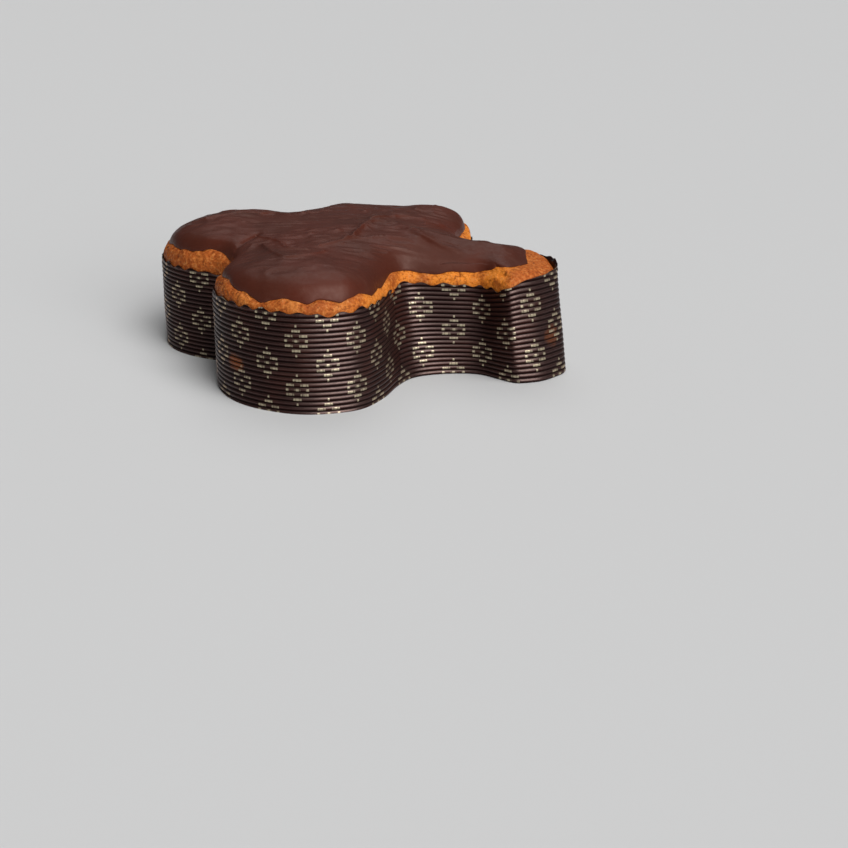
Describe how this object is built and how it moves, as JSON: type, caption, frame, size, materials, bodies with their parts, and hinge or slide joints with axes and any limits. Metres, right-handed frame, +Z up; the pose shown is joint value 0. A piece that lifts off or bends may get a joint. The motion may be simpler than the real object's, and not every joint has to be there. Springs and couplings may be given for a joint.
{
  "type": "easter dove bread",
  "caption": "Dove-shaped festive loaf with a dark chocolate glaze, in a ribbed brown paper baking case with a scalloped rim.",
  "frame": {"origin": "on the surface the case stands on, under the middle of the bread's bounding box", "axes": "+X towards the dove's head, +Y towards its left wing, +Z up out of the top of the bread"},
  "size_m": [0.2482, 0.2156, 0.0773],
  "materials": {
    "case_paper": "satin",
    "golden_crust": "matte",
    "dark_chocolate": "satin"
  },
  "bodies": {
    "root": {"paper_case": "case_paper", "bread": "golden_crust", "chocolate_glaze": "dark_chocolate"}
  },
  "joints": []
}
